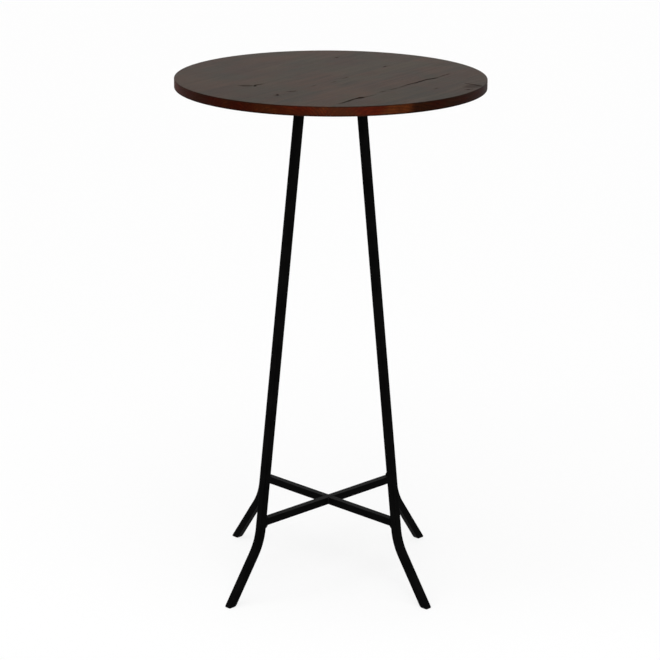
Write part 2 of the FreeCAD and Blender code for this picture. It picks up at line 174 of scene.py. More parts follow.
# Checks, gaps and knots of the top, along and across the grain from the middle:
# (along, across, half width, depth) at each turn of a mark.
MARKS = (
    ((-234, -177.0, 1.4, 0.4), (-222, -178.0, 2.6, 0.8), (-205, -177.5, 3.2, 1.0), (-190, -175.2, 3.4, 1.1),
     (-178, -174.2, 2.8, 1.0), (-170, -174.6, 2.6, 1.2), (-164, -175.8, 3.6, 2.0), (-159, -176.8, 5.6, 3.2),
     (-154, -178.0, 3.8, 2.2), (-149, -179.3, 1.5, 1.1), (-144, -180.2, 0.9, 0.7), (-134, -181.6, 0.8, 0.6),
     (-122, -182.2, 0.7, 0.5), (-106, -182.0, 0.3, 0.15)),
    ((-84, -176.6, 0.6, 0.4), (-78, -177.6, 1.4, 1.0), (-70, -179.0, 0.6, 0.4)),
    ((-50, -178.6, 0.5, 0.3), (-44, -179.2, 1.1, 0.8), (-33, -180.8, 0.9, 0.7), (-24, -180.4, 0.5, 0.3),
     (-14, -179.3, 0.9, 0.6), (2, -178.6, 1.1, 0.8), (16, -177.8, 1.2, 1.0), (24, -177.6, 1.7, 1.4),
     (34, -178.3, 1.5, 1.3), (44, -179.8, 2.3, 2.0), (52, -179.6, 1.5, 1.3), (62, -179.0, 2.3, 2.0),
     (76, -178.7, 2.0, 1.7), (88, -179.0, 2.4, 2.1), (96, -180.4, 3.4, 2.6), (104, -182.4, 2.6, 1.8),
     (114, -184.4, 2.4, 1.5), (122, -184.8, 1.0, 0.7), (134, -183.4, 0.7, 0.5), (148, -182.6, 1.3, 1.0),
     (157, -182.4, 0.7, 0.5), (166, -182.2, 1.2, 0.9), (178, -182.0, 0.4, 0.2)),
    ((-235, -30.0, 1.2, 0.6), (-231, -27.0, 2.1, 1.15), (-226, -23.6, 2.1, 1.15), (-222, -21.0, 1.0, 0.5)),
    ((-187, -22.4, 1.0, 0.7), (-182, -26.4, 1.8, 1.2), (-178, -29.8, 1.0, 0.7)),
    ((-113, -29.4, 0.4, 0.4), (-103, -28.8, 0.8, 0.6), (-95, -29.0, 0.3, 0.3)),
    ((-55, -37.0, 0.4, 0.3), (-45, -38.0, 0.8, 0.6), (-36, -37.4, 0.3, 0.3)),
    ((-6, -31.6, 0.4, 0.4), (8, -31.8, 1.1, 0.8), (20, -30.8, 0.4, 0.3)),
    ((161, -26.0, 0.7, 0.6), (168, -25.5, 1.9, 1.4), (175, -26.2, 0.6, 0.5)),
    ((-190.5, 94.0, 3.0, 0.5), (-187, 89.0, 5.0, 0.7), (-181, 80.5, 5.0, 0.7), (-177, 74.5, 4.0, 0.7)),
    ((-178.5, 65.4, 1.6, 0.8), (-174.5, 68.0, 2.6, 1.4), (-169.5, 71.4, 2.6, 1.4), (-165.5, 72.2, 1.8, 0.9),
     (-161, 71.0, 2.2, 0.8), (-154, 69.0, 2.0, 0.7), (-147, 68.0, 0.8, 0.3)),
    ((196, 120.2, 0.6, 0.5), (204, 120.2, 1.4, 1.0), (211, 119.4, 0.5, 0.4)),
    ((5, -247.8, 0.4, 0.3), (14, -247.6, 1.0, 0.7), (24, -247.0, 0.4, 0.3)),
    ((97, -268.0, 0.8, 0.4), (97, -274.0, 2.4, 0.7), (97, -288.0, 2.4, 0.8), (93, -293.5, 2.4, 0.9),
     (91.5, -300.0, 2.8, 1.1), (91, -308.0, 2.4, 0.9)),
    ((41, -304.4, 1.2, 0.7), (43.5, -305.4, 2.4, 1.4), (48, -306.6, 1.0, 0.6)),
)
# Knots: along, across, reach along, reach across, how dark
KNOTS = (
    (-159, -177.0, 11.0, 5.5, 0.70),
    (80, -294.0, 25.0, 17.0, 0.30),
    (-186, 83.0, 14.0, 13.0, 0.24),
    (-172, 69.5, 7.0, 6.0, 0.22),
    (-232, -24.0, 8.0, 5.0, 0.20),
    (168, -26.0, 6.0, 4.0, 0.25),
    (204, 121.0, 9.0, 5.0, 0.12),
)


def across_of(joint):
    return joint * BOARD_WIDTH - TOP_RADIUS


def turn_about(angle, x, y):
    """A point turned about the middle of the table: (x, y)."""
    c, s = cos(angle), sin(angle)
    return x * c - y * s, x * s + y * c


def round_table(angle, radial, tangent, z):
    """A point given outwards from the table's axis, along the turn, and up."""
    return Vector((*turn_about(angle, radial, tangent), z))


def clamp(value, low=0.0, high=1.0):
    return max(low, min(high, value))


def smooth_step(low, high, value):
    t = clamp((value - low) / (high - low))
    return t * t * (3 - 2 * t)


def steps(low, high, spacing):
    """Evenly spaced values from low to high, both included."""
    count = max(1, ceil(abs(high - low) / spacing - 1e-6))
    return [low + (high - low) * i / count for i in range(count + 1)]


def circle(radius, count):
    """Points evenly spaced round a circle: (x, y)."""
    turns = [tau * i / count for i in range(count)]
    return [(radius * cos(a), radius * sin(a)) for a in turns]


# Meshes


def add_object(name, data):
    made = bpy.data.objects.new(name, data)
    scene.collection.objects.link(made)
    return made


def mesh_object(bm, name, material):
    bmesh.ops.recalc_face_normals(bm, faces=bm.faces)
    mesh = bpy.data.meshes.new(name)
    bm.to_mesh(mesh)
    bm.free()
    mesh.materials.append(material)
    return add_object(name, mesh)


def finish_mesh(bm, name, material, sharp=32.0):
    """Turns a bmesh in millimetres into a piece that rides on the table; sharp is in degrees."""
    bmesh.ops.remove_doubles(bm, verts=bm.verts, dist=MERGE_DISTANCE)
    bmesh.ops.scale(bm, vec=Vector((1, 1, 1)) / METRE, verts=bm.verts)
    piece = mesh_object(bm, name, material)
    piece.data.shade_smooth()
    piece.data.set_sharp_from_angle(angle=radians(sharp))
    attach(piece, "root")
    return piece


def add_face(bm, corners):
    """A face, without corners that fall together, unless it is there already."""
    kept = list(dict.fromkeys(corners))
    if len(kept) > 2 and bm.faces.get(kept) is None:
        bm.faces.new(kept)


def skin_rows(bm, rows, closed=False):
    """Quads between rows of vertices of the same length."""
    for lower, upper in zip(rows, rows[1:]):
        count = len(lower)
        for i in range(count if closed else count - 1):
            j = (i + 1) % count
            add_face(bm, (lower[i], lower[j], upper[j], upper[i]))


def close_rows(bm, rows):
    """A closed solid through closed rows."""
    skin_rows(bm, rows, closed=True)
    bm.faces.new(rows[0])
    bm.faces.new(rows[-1])


def inside(outline, x, y):
    crossed = False
    for (x1, y1), (x2, y2) in zip(outline, outline[1:] + outline[:1]):
        if (y1 > y) != (y2 > y) and x < (x2 - x1) * (y - y1) / (y2 - y1) + x1:
            crossed = not crossed
    return crossed


def flat_fill(outline, holes=(), inner=()):
    """Triangles inside an outline, round its holes, through inner points; all points are (x, y)."""
    inside_only, tolerance = 1, 1e-4
    points = []
    edges = []
    for ring in (outline, *holes):
        first = len(points)
        points += [Vector(p) for p in ring]
        edges += [(first + i, first + (i + 1) % len(ring)) for i in range(len(ring))]
    points += [Vector(p) for p in inner]
    found, _, triangles, _, _, _ = delaunay_2d_cdt(points, edges, [], inside_only, tolerance)
    kept = []
    for triangle in triangles:
        centre = sum((found[i] for i in triangle), Vector((0, 0))) / 3
        if not any(inside(hole, *centre) for hole in holes):
            kept.append(triangle)
    return found, kept


class Grid:
    """Tuples that start with their place, kept in square cells so that near ones are soon found."""

    def __init__(self, cell):
        self.cell = cell
        self.kept = {}

    def key(self, u, v):
        return u // self.cell, v // self.cell

    def keep(self, thing):
        self.kept.setdefault(self.key(*thing[:2]), []).append(thing)

    def near(self, u, v):
        column, row = self.key(u, v)
        keys = [(column + i, row + j) for i in (-1, 0, 1) for j in (-1, 0, 1)]
        return [thing for key in keys for thing in self.kept.get(key, ())]


# The boards


def sample_marks():
    """The marks as close points: (along, across, half width, depth, direction)."""
    for number, mark in enumerate(MARKS):
        wave = random.Random(number + 11)
        for (u1, v1, w1, d1), (u2, v2, w2, d2) in zip(mark, mark[1:]):
            run = hypot(u2 - u1, v2 - v1)
            ahead = ((u2 - u1) / run, (v2 - v1) / run)
            count = max(2, ceil(run / MARK_STEP))
            for i in range(count):
                t = i / count
                sway = wave.uniform(-MARK_SWAY, MARK_SWAY)
                width = (w1 + (w2 - w1) * t) * wave.uniform(*MARK_RAGGED)
                along = u1 + (u2 - u1) * t - ahead[1] * sway
                across = v1 + (v2 - v1) * smooth_step(0.0, 1.0, t) + ahead[0] * sway
                yield along, across, width, d1 + (d2 - d1) * t, ahead


MARK_POINTS = list(sample_marks())
MARK_GRID = Grid(MARK_CELL)
for mark_point in MARK_POINTS:
    MARK_GRID.keep(mark_point)


def mark_at(along, across):
    """Depth of the marks at a place of the top, and how far it is filled with dark."""
    depth = 0.0
    dark = 0.0
    for u, v, width, deep, _ in MARK_GRID.near(along, across):
        away = hypot(along - u, across - v)
        if away < width:
            depth = max(depth, deep * (1 - (away / width) ** 2))
        fringe = smooth_step(width * DARK_CORE, width + DARK_FRINGE, away)
        dark = max(dark, (1 - fringe) * clamp(deep / DARK_DEPTH) ** DARK_POWER)
    return depth, dark


def rim_levels():
    """The turned rim's section, from below: (how far inside the full radius, height)."""
    turns = steps(0.0, pi / 2, ROUND_STEP)
    levels = [(LOWER_ROUND * (1 - sin(t)), LOWER_ROUND * (1 - cos(t))) for t in turns]
    middle = TOP_THICKNESS / 2
    groove_half = TONGUE_HALF + GROOVE_CLEARANCE
    levels += [(0.0, middle + side) for side in (-groove_half, -TONGUE_HALF, 0.0, TONGUE_HALF, groove_half)]
    levels += [(UPPER_ROUND * (1 - cos(t)), TOP_THICKNESS - UPPER_ROUND * (1 - sin(t))) for t in turns]
    return [(inset + RIM_SETBACK, z) for inset, z in levels]


RIM = rim_levels()
TONGUE_LEVELS = (8, 10)  # the rim levels between which a tongue stands out
GROOVE_LEVELS = (7, 11)


def reach_at(across, inset):
    return sqrt(max(0.0, (TOP_RADIUS - inset) ** 2 - across ** 2))


class Board:
    """One board of the top, built on the grain's axes and then turned into place."""

    def __init__(self, number):
        self.number = number
        self.left = across_of(number - 1) if number > 1 else None
        self.right = across_of(number) if number < BOARDS else None
        self.outer = self.left is None or self.right is None
        self.low = -TOP_RADIUS if self.left is None else self.left
        self.high = TOP_RADIUS if self.right is None else self.right
        self.bm = bmesh.new()
        self.seen = {}

    def vertex(self, along, across, z):
        key = (round(along, 3), round(across, 3), round(z, 3))
        if key not in self.seen:
            self.seen[key] = self.bm.verts.new((along, across, z))
        return self.seen[key]

    def joint_run(self, across):
        """Places along a joint, close together where a mark runs beside it, as shares of half its length."""
        half = reach_at(across, UPPER_ROUND)
        near = sorted(u for u, v, width, _, _ in MARK_POINTS if abs(v - across) < width + JOINT_NEAR_MARK)
        places = [-half, -half * JOINT_END, half * JOINT_END, half]
        wide = steps(-half, half, JOINT_STEP)
        places += [u for u in wide if all(abs(u - other) > JOINT_CLEAR_OF_MARK for other in near)]
        last = -half
        for u in near:
            if u - last > JOINT_STEP_AT_MARK and abs(u) < half * JOINT_MARK_END:
                places.append(u)
                last = u
        places = sorted(set(round(u, 3) for u in places))
        kept = [places[0]]
        for u in places[1:]:
            if u - kept[-1] > LEAST_JOINT_STEP:
                kept.append(u)
        kept[-1] = places[-1]
        return [u / half for u in kept]

    def joint_profile(self, across, notch, levels):
        """Section of a joint face from below: (across, inset, height)."""
        low, high = levels
        places = [(across, level) for level in range(low + 1)]
        places += [(across + notch, level) for level in range(low, high + 1)]
        places += [(across, level) for level in range(high, len(RIM))]
        return [(place, *RIM[level]) for place, level in places]

    def add_joint(self, across, notch, levels):
        shares = self.joint_run(across)
        rows = []
        for v, inset, z in self.joint_profile(across, notch, levels):
            half = reach_at(v, inset)
            rows.append([self.vertex(half * share, v, z) for share in shares])
        skin_rows(self.bm, rows)

    def columns(self, side):
        """The rim's upright lines on one side of the board, or all round an outer board."""

        def left(side):
            return [("left", self.left, side), ("groove", self.left + GROOVE_DEPTH, side)]

        def right(side):
            return [("right", self.right, side), ("tongue", self.right + TONGUE_LENGTH, side)]

        def turn(start, end):
            return [("angle", a, 0) for a in steps(start, end, RIM_STEP)]

        if self.left is None:
            end = asin((self.right - RIM_GAP) / TOP_RADIUS)
            return right(-1)[::-1] + turn(pi - end, tau + end) + right(1)
        start = asin((self.left + GROOVE_DEPTH + RIM_GAP) / TOP_RADIUS)
        if self.right is None:
            return left(1) + turn(start, pi - start) + left(-1)[::-1]
        end = asin((self.right - RIM_GAP) / TOP_RADIUS)
        middle = turn(start, end) if side > 0 else turn(pi - start, pi - end)
        return left(side) + middle + right(side)

    def rim_vertex(self, column, level):
        kind, value, side = column
        inset, z = RIM[level]
        if kind == "angle":
            radius = TOP_RADIUS - inset
            return self.vertex(radius * cos(value), radius * sin(value), z)
        return self.vertex(side * reach_at(value, inset), value, z)

    def add_rim(self, side):
        """Skins one stretch of rim and returns its lower and upper edge."""
        columns = self.columns(side)
        for first, second in zip(columns, columns[1:]):
            kinds = {first[0], second[0]}
            levels = range(len(RIM) - 1)
            if kinds == {"right", "tongue"}:
                levels = range(*TONGUE_LEVELS)
            elif kinds == {"left", "groove"}:
                levels = [level for level in levels if level not in range(*GROOVE_LEVELS)]
            for level in levels:
                corners = ((first, level), (second, level), (second, level + 1), (first, level + 1))
                add_face(self.bm, [self.rim_vertex(*corner) for corner in corners])
        kept = [column for column in columns if column[0] != "tongue"]
        return [[self.rim_vertex(column, level) for column in kept] for level in (0, len(RIM) - 1)]

    def outline(self, upper):
        """The closed outline of the upper (1) or lower (0) face."""
        inset, z = RIM[-1] if upper else RIM[0]

        def joint_line(across):
            half = reach_at(across, inset)
            return [self.vertex(half * share, across, z) for share in self.joint_run(across)]

        loop = list(self.rims[0][upper])
        if self.right is not None:
            loop += joint_line(self.right)[-2:0:-1]
        if not self.outer:
            loop += self.rims[1][upper][::-1]
        if self.left is not None:
            loop += joint_line(self.left)[1:-1]
        return loop

    def face_points(self):
        """Points inside the upper face: close round the marks, wide elsewhere."""
        found = []
        taken = Grid(POINT_CELL)
        limit = TOP_RADIUS - UPPER_ROUND - FACE_EDGE

        def offer(u, v, gap, joint_gap=JOINT_GAP):
            on_face = self.low + joint_gap < v < self.high - joint_gap and hypot(u, v) <= limit
            if on_face and all(hypot(u - other[0], v - other[1]) >= gap for other in taken.near(u, v)):
                taken.keep((u, v))
                found.append((u, v))

        for u, v, width, _, ahead in MARK_POINTS:
            if self.low - MARK_BESIDE < v < self.high + MARK_BESIDE:
                for reach in (0.0, width * 0.55, width, width + 0.6, width + 1.4):
                    for off in ((reach, -reach) if reach else (0.0,)):
                        offer(u - ahead[1] * off, v + ahead[0] * off, MARK_GAP)
        for u in steps(-TOP_RADIUS, TOP_RADIUS, FACE_STEPS[0]):
            for v in steps(self.low, self.high, FACE_STEPS[1]):
                offer(u, v, FACE_GAP, WIDE_JOINT_GAP)
        for u, v in circle(limit - 0.1, RING_POINTS):
            offer(u, v, RING_GAP)
        return found

    def add_flat(self, outline, inner=(), holes=()):
        """Fills a flat face and leaves its holes open."""
        z = outline[0].co.z
        found, triangles = flat_fill([v.co.xy for v in outline], holes, inner)
        corners = [self.vertex(p.x, p.y, z) for p in found]
        for triangle in triangles:
            add_face(self.bm, [corners[i] for i in triangle])

    def pilot_holes(self):
        """Outlines of the pilot holes that come up into this board."""
        found = []
        for x, y in circle(SCREW_REACH, SCREWS):
            u, v = turn_about(-GRAIN_ANGLE, x, y)
            if self.low < v < self.high:
                found.append([(u + du, v + dv) for du, dv in circle(PILOT_RADIUS, PILOT_POINTS)])
        return found

    def add_pilot(self, ring):
        lower, upper = ([self.vertex(u, v, z) for u, v in ring] for z in (0.0, PILOT_DEPTH))
        skin_rows(self.bm, [lower, upper], closed=True)
        add_face(self.bm, upper)

    def sink_marks(self):
        """Presses the marks into the upper face and keeps how dark they are at each vertex."""
        layer = self.bm.verts.layers.float.new("dark_check")
        start = TOP_THICKNESS - MARKED_DEPTH
        for vertex in self.bm.verts:
            u, v, z = vertex.co
            if z > start:
                depth, dark = mark_at(u, v)
                vertex.co.z = start + (z - start) * (1 - depth / MARKED_DEPTH)
                vertex[layer] = dark * (z - start) / MARKED_DEPTH

    def build(self, material):
        self.rims = [self.add_rim(side) for side in ((1,) if self.outer else (1, -1))]
        if self.left is not None:
            self.add_joint(self.left, GROOVE_DEPTH, GROOVE_LEVELS)
        if self.right is not None:
            self.add_joint(self.right, TONGUE_LENGTH, TONGUE_LEVELS)
        self.add_flat(self.outline(1), self.face_points())
        holes = self.pilot_holes()
        self.add_flat(self.outline(0), holes=holes)
        for ring in holes:
            self.add_pilot(ring)
        self.sink_marks()
        for vertex in self.bm.verts:
            u, v, z = vertex.co
            vertex.co = (*turn_about(GRAIN_ANGLE, u, v), z + TOP_UNDERSIDE)
        return finish_mesh(self.bm, "board_%d" % self.number, material)


# Weld beads


def add_bead(bm, corner, first, second, along, chance):
    """A rippled fillet bead: two flanks from a corner, run along a line, its ends rounded off."""
    count = int(BEAD_LENGTH / BEAD_STEP)
    arc = 9
    phase = chance.uniform(0, tau)
    rows = []
    for i in range(count + 1):
        t = i / count
        place = (t - 0.5) * BEAD_LENGTH
        end = clamp(min(t, 1 - t) * BEAD_LENGTH / BEAD_END)
        body = BEAD_END_SIZE + (1 - BEAD_END_SIZE) * sqrt(1 - (1 - end) ** 2)
        ripple = 1 + RIPPLE_HEIGHT * abs(sin(pi * place / RIPPLE_PITCH + phase))
        ripple += chance.uniform(-RIPPLE_CHANCE, RIPPLE_CHANCE)
        row = [bm.verts.new(corner + along * place)]
        for k in range(arc + 1):
            s = k / arc
            turn = pi / 2 * s
            bulge = 1 + BEAD_BULGE * sin(pi * s)
            spread = body * (ripple if 0 < k < arc else 1)
            flat = first * (1 - s) + second * s
            round_off = first * cos(turn) + second * sin(turn)
            face = flat * BEAD_FLATNESS + round_off * (1 - BEAD_FLATNESS)
            row.append(bm.verts.new(corner + along * place + face * spread * bulge))
        rows.append(row)
    close_rows(bm, rows)


def make_beads(name, node, beads, material):
    """All the beads of one node as one piece; each is (corner, first flank, second flank, direction)."""
    bm = bmesh.new()
    beads = list(beads)
    chance = random.Random(len(beads))
    for bead in beads:
        add_bead(bm, *bead, chance)
    piece = finish_mesh(bm, name, material, sharp=50.0)
    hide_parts(node)


def stretcher_beads():
    lift = tan(LEAN) * HALF_BAR
    for name, angle in LEG_ANGLES.items():
        over, under = STRETCHER_BEADS[name]
        run = round_table(angle, 0, 1, 0)
        up_leg = round_table(angle, -sin(LEAN), 0, cos(LEAN))
        inward = round_table(angle, -1, 0, 0)
        upper = round_table(angle, LEG_FACE - lift, 0, STRETCHER_HEIGHT + HALF_BAR)
        lower = round_table(angle, LEG_FACE + lift, 0, STRETCHER_HEIGHT - HALF_BAR)
        yield upper, up_leg * over, inward * over, run
        yield lower, -up_leg * under, inward * under, run


def crossing_beads():
    for angle in LEG_ANGLES.values():
        corner = round_table(angle, HALF_BAR, HALF_BAR, STRETCHER_HEIGHT)
        outward = round_table(angle, 1, 0, 0) * CROSSING_BEAD
        sideways = round_table(angle, 0, 1, 0) * CROSSING_BEAD
        yield corner, outward, sideways, Vector((0, 0, 1))


def plate_beads():
    reach = HALF_BAR / cos(LEAN)
    for angle in LEG_ANGLES.values():
        outward = round_table(angle, 1, 0, 0)
        sideways = round_table(angle, 0, 1, 0)
        down_leg = round_table(angle, sin(LEAN), 0, -cos(LEAN)) * PLATE_BEAD
        for side in (-1, 1):
            corner = round_table(angle, LEG_TOP_RADIUS + side * reach, 0, PLATE_UNDERSIDE)
            yield corner, outward * side * PLATE_BEAD, down_leg, sideways
        for side in (-1, 1):
            corner = round_table(angle, LEG_TOP_RADIUS, side * HALF_BAR, PLATE_UNDERSIDE)
            yield corner, sideways * side * PLATE_BEAD, Vector((0, 0, -PLATE_BEAD)), outward


# Legs and their glides


def corner_arcs(half_out, half_across, radius, segments=5):
    """The rounds of a rectangle's corners, each as the angles that it turns through and its points."""
    found = []
    for number, (sx, sy) in enumerate(((1, 1), (-1, 1), (-1, -1), (1, -1))):
        x, y = sx * (half_out - radius), sy * (half_across - radius)
        turns = [pi / 2 * (number + i / segments) for i in range(segments + 1)]
        found.append((turns, [(x + radius * cos(a), y + radius * sin(a)) for a in turns]))
    return found


def tube_section(half, corner):
    """Points round a tube's section, held beside each corner to keep its sides flat: (outward, across)."""
    points = []
    for turns, arc in corner_arcs(half, half, corner):
        (x1, y1), (x2, y2) = arc[0], arc[-1]
        before = (x1 + sin(turns[0]) * CORNER_HOLD, y1 - cos(turns[0]) * CORNER_HOLD)
        after = (x2 - sin(turns[-1]) * CORNER_HOLD, y2 + cos(turns[-1]) * CORNER_HOLD)
        points += [before, *arc, after]
    return points


def leg_line():
    """A leg's centre line from the plate down: (distance from the axis, height, slope from upright)."""
    setback = BEND_RADIUS * tan((SPLAY - LEAN) / 2)
    centre_out = KNEE_RADIUS - setback * sin(LEAN) + BEND_RADIUS * cos(LEAN)
    centre_up = KNEE_HEIGHT + setback * cos(LEAN) + BEND_RADIUS * sin(LEAN)
    line = [(LEG_TOP_RADIUS, PLATE_UNDERSIDE, LEAN)]
    for slope in steps(LEAN, SPLAY, BEND_STEP):
        out, up = centre_out - BEND_RADIUS * cos(slope), centre_up - BEND_RADIUS * sin(slope)
        line.append((out, up, slope))
    line.append((FOOT_RADIUS - GLIDE_THICKNESS * tan(SPLAY), GLIDE_THICKNESS, SPLAY))
    return line


def make_leg(name, angle, material):
    """The bent square tube, with a finer knee and corners than the CAD mesh; both ends are sawn level."""
    bm = bmesh.new()
    line = leg_line()
    skins = []
    for section in (tube_section(HALF_BAR, BAR_CORNER), tube_section(HALF_BAR - BAR_WALL, BORE_CORNER)):
        rows = []
        for number, (out, up, slope) in enumerate(line):
            row = []
            for x, y in section:
                reach, height = out + x * cos(slope), up + x * sin(slope)
                if number in (0, len(line) - 1):
                    reach += (height - up) * tan(slope)
                    height = up
                row.append(bm.verts.new(round_table(angle, reach, y, height)))
            rows.append(row)
        skin_rows(bm, rows, closed=True)
        skins.append(rows)
    outer, inner = skins
    for end in (0, -1):
        skin_rows(bm, [outer[end], inner[end]], closed=True)
    piece = finish_mesh(bm, "bent_tube_" + name, material)
    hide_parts("leg_" + name)


def add_stack(bm, angle, levels):
    """A closed solid through rounded rectangles: (height, reach outwards, inwards and across, corner)."""
    rows = []
    for z, outward, inward, across, corner in levels:
        centre = FOOT_RADIUS - z * tan(SPLAY) + (outward - inward) / 2
        arcs = corner_arcs((outward + inward) / 2, across, corner)
        rows.append([bm.verts.new(round_table(angle, centre + x, y, z)) for _, arc in arcs for x, y in arc])
    close_rows(bm, rows)


def make_glide(name, angle, material):
    """The moulded glide: a soft-edged pad under the tube, its plug and its fins."""
    bm = bmesh.new()
    slant = 1 / cos(SPLAY)
    long_half = HALF_BAR * slant
    levels = []
    for t in steps(0.0, pi / 2, radians(10.0)):
        outer, inner, side = (reach * (1 - sin(t)) for reach in PAD_ROUND)
        rise = PAD_ROUND_HEIGHT * (1 - cos(t))
        corner = PAD_CORNER - side * PAD_CORNER_LOSS
        levels.append((rise, long_half - outer, long_half - inner, HALF_BAR - side, corner))
    for z, inset, corner in PAD_SEAT:
        levels.append((z, long_half - inset, long_half - inset, HALF_BAR - inset, corner))
    add_stack(bm, angle, levels)

    def add_block(half, low, high, corner):
        add_stack(bm, angle, [(z, half * slant, half * slant, half, corner) for z in (low, high)])

    add_block(PLUG_CORE, GLIDE_THICKNESS, GLIDE_THICKNESS + PLUG_LENGTH, PLUG_CORNER)
    for fin in range(FINS):
        low = FIN_START + FIN_PITCH * fin
        add_block(HALF_BAR - BAR_WALL - FIN_CLEARANCE, low, low + FIN_THICKNESS, FIN_CORNER)
    piece = finish_mesh(bm, "glide_" + name, material, sharp=40.0)
    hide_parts("foot_glide_" + name)


# Screws


def screw_profile():
    """The screw's outline from its face up: (radius, height)."""
    crown = HEAD_RADIUS - HEAD_FACE
    bevel_inset, bevel_height = HEAD_BEVEL
    turns = steps(0.0, pi / 2, ROUND_STEP)
    return [(HEAD_FACE + crown * sin(t), crown * (1 - cos(t))) for t in turns] + [
        (HEAD_RADIUS, HEAD_HEIGHT - bevel_height), (HEAD_RADIUS - bevel_inset, HEAD_HEIGHT),
        (SCREW_RADIUS, HEAD_HEIGHT), (SCREW_RADIUS, HEAD_HEIGHT + SCREW_LENGTH - SCREW_TIP),
        (SCREW_POINT, HEAD_HEIGHT + SCREW_LENGTH),
    ]


def recess_outline():
    arm = [(RECESS_ARM, -RECESS_HALF), (RECESS_ARM, RECESS_HALF), (RECESS_HALF, RECESS_HALF)]
    return [turn_about(pi / 2 * quarter, x, y) for quarter in range(4) for x, y in arm]


def add_screw(bm, x, y):
    """A pan head with a cross recess, and its shank; the head looks down."""
    bottom = PLATE_UNDERSIDE - WASHER_THICKNESS - HEAD_HEIGHT
    rows = [[bm.verts.new((x + dx, y + dy, bottom + rise)) for dx, dy in circle(radius, HEAD_POINTS)]
            for radius, rise in screw_profile()]
    skin_rows(bm, rows, closed=True)
    bm.faces.new(rows[-1])
    cross = recess_outline()
    found, triangles = flat_fill(circle(HEAD_FACE, HEAD_POINTS), [cross])
    face = [bm.verts.new((x + p.x, y + p.y, bottom)) for p in found]
    for triangle in triangles:
        add_face(bm, [face[i] for i in triangle])
    mouth, floor = ([bm.verts.new((x + dx * size, y + dy * size, bottom + depth)) for dx, dy in cross]
                    for size, depth in ((1.0, 0.0), (RECESS_FLOOR, RECESS_DEPTH)))
    skin_rows(bm, [mouth, floor], closed=True)
    bm.faces.new(floor)


def make_screws(material):
    bm = bmesh.new()
    for x, y in circle(SCREW_REACH, SCREWS):
        add_screw(bm, x, y)
    piece = finish_mesh(bm, "pan_head_screws", material, sharp=35.0)
    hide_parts("plate_screws")


# Materials


def rgb(red, green, blue):
    return (red, green, blue, 1.0)


WHITE = rgb(1.0, 1.0, 1.0)
WOOD_SPECULAR = 0.0315
COAT_SPECULAR = 0.0128
COAT = rgb(0.0014, 0.0014, 0.0014)
# The stain on the faces and on the turned rim, and the colours that it drifts towards
STAIN = {
    "Face Light": rgb(0.0415, 0.0235, 0.0120), "Face Dark": rgb(0.0145, 0.0083, 0.0045),
    "Edge Light": rgb(0.100, 0.0185, 0.0035), "Edge Dark": rgb(0.026, 0.0042, 0.0008),
    "Filler": rgb(0.0040, 0.0022, 0.0016),
    "Redder": rgb(1.12, 0.93, 0.90), "Browner": rgb(0.89, 1.06, 1.08),
    "Redder Edge": rgb(1.04, 0.62, 0.50), "Browner Edge": rgb(0.96, 1.32, 1.5),
}
BOARD_TONES = (1.00, 1.03, 0.97, 1.02, 0.96)
# Rim tone of each board; the high values of the first two boards, which meet at the front, are a painted
# highlight on the rim
EDGE_TONES_AND_HIGHLIGHT = (1.50, 1.22, 0.96, 0.95, 0.85)
HEART_AND_SHADE_ACROSS = -284.5  # beyond this line the first board is darker heartwood, and its rim is painted in shade where the front light's highlight ends
EDGE_DRIFT_SHIFT = (0.685, 1.095, 0.415)
EFFECT_OUTPUTS = {"Color": "Color", "Roughness": "Float", "Height": "Float"}


class Graph:
    """Adds nodes to one tree and wires what each is given: another node's socket, a number or a colour."""

    def __init__(self, tree):
        self.tree = tree

    def node(self, kind, inputs=(), **settings):
        """A shader node with its inputs, given by name or in their own order."""
        made = self.tree.nodes.new("ShaderNode" + kind)
        for name, value in settings.items():
            setattr(made, name, value)
        for name, value in (inputs.items() if isinstance(inputs, dict) else enumerate(inputs)):
            self.feed(made.inputs[name], value)
        return made

    def feed(self, socket, value):
        if isinstance(value, bpy.types.NodeSocket):
            self.tree.links.new(value, socket)
        else:
            socket.default_value = value

    def calc(self, operation, *values, clamped=False):
        return self.node("Math", values, operation=operation, use_clamp=clamped).outputs[0]

    def plus(self, first, second, clamped=False):
        return self.calc("ADD", first, second, clamped=clamped)

    def minus(self, first, second, clamped=False):
        return self.calc("SUBTRACT", first, second, clamped=clamped)

    def times(self, first, second):
        return self.calc("MULTIPLY", first, second)

    def swing(self, noise, reach):
        """A noise as a swing about nought, at most half of reach either way."""
        return self.times(self.minus(noise, 0.5), reach)

    def vector(self, operation, *values):
        made = self.node("VectorMath", values, operation=operation)
        return made.outputs["Value" if operation in ("LENGTH", "DOT_PRODUCT") else "Vector"]

    def noise(self, place, scale, detail=2.0, roughness=0.5):
        return self.node("TexNoise", {
            "Vector": place, "Scale": scale, "Detail": detail, "Roughness": roughness}).outputs["Fac"]

    def ease(self, value, low, high, start=0.0, end=1.0):
        """Smoothly from start to end as value goes from low to high."""
        return self.node("MapRange", {
            "Value": value, "From Min": low, "From Max": high, "To Min": start, "To Max": end},
            interpolation_type="SMOOTHSTEP").outputs[0]

    def split(self, vector):
        return self.node("SeparateXYZ", (vector,)).outputs

    def grey(self, share):
        return self.node("CombineColor", (share, share, share)).outputs[0]

    def blend(self, share, first, second, kind="MIX"):
        made = self.node("Mix", {0: share, 6: first, 7: second}, data_type="RGBA", blend_type=kind)
        return made.outputs[2]

    def tint(self, first, second):
        return self.blend(1.0, first, second, "MULTIPLY")

    def mix_shaders(self, share, first, second):
        return self.node("MixShader", (share, first.outputs[0], second.outputs[0])).outputs[0]


def empty_graph(owner):
    """The empty node tree of a material or a world."""
    owner.use_nodes = True
    owner.node_tree.nodes.clear()
    return Graph(owner.node_tree)


